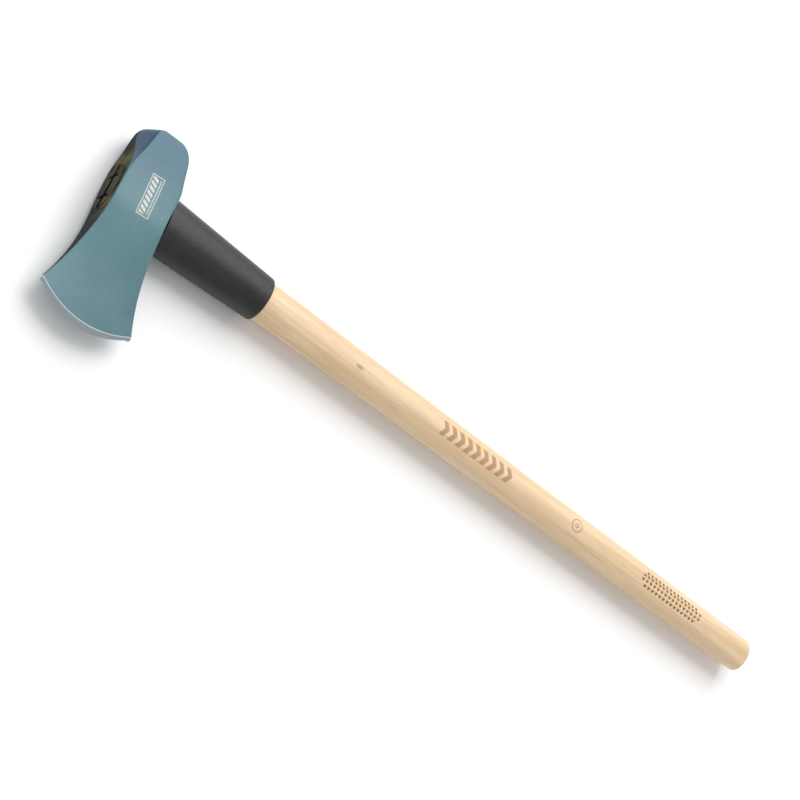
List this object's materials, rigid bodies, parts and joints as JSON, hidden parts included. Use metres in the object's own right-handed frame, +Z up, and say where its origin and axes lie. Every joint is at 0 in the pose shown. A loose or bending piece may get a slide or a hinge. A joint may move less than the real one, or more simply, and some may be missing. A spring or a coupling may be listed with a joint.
{
  "type": "splitting maul",
  "caption": "Long-handled maul for splitting logs: forged wedge head with a hammer poll, wooden handle and black overstrike collar.",
  "frame": {"origin": "middle of the footprint of the tool lying on its side, on the floor", "axes": "+X down the handle from the head to the butt, +Y out of the hammer poll (the cutting edge faces -Y), +Z up, square to the flat mid-plane of the tool"},
  "size_m": [0.932, 0.2118, 0.0488],
  "materials": {
    "head_paint": "satin blue-grey lacquer over a forging, ground bare at the edge",
    "hickory": "smooth, clear lacquered",
    "collar_plastic": "satin black, finely grained",
    "wedge_wood": "sawn end grain",
    "wedge_steel": "mill finish, dark"
  },
  "bodies": {
    "root": {"maul_head": "head_paint", "handle": "hickory", "overstrike_collar": "collar_plastic", "wood_wedge": "wedge_wood", "steel_wedge_poll_side": "wedge_steel", "steel_wedge_bit_side": "wedge_steel"}
  },
  "joints": []
}
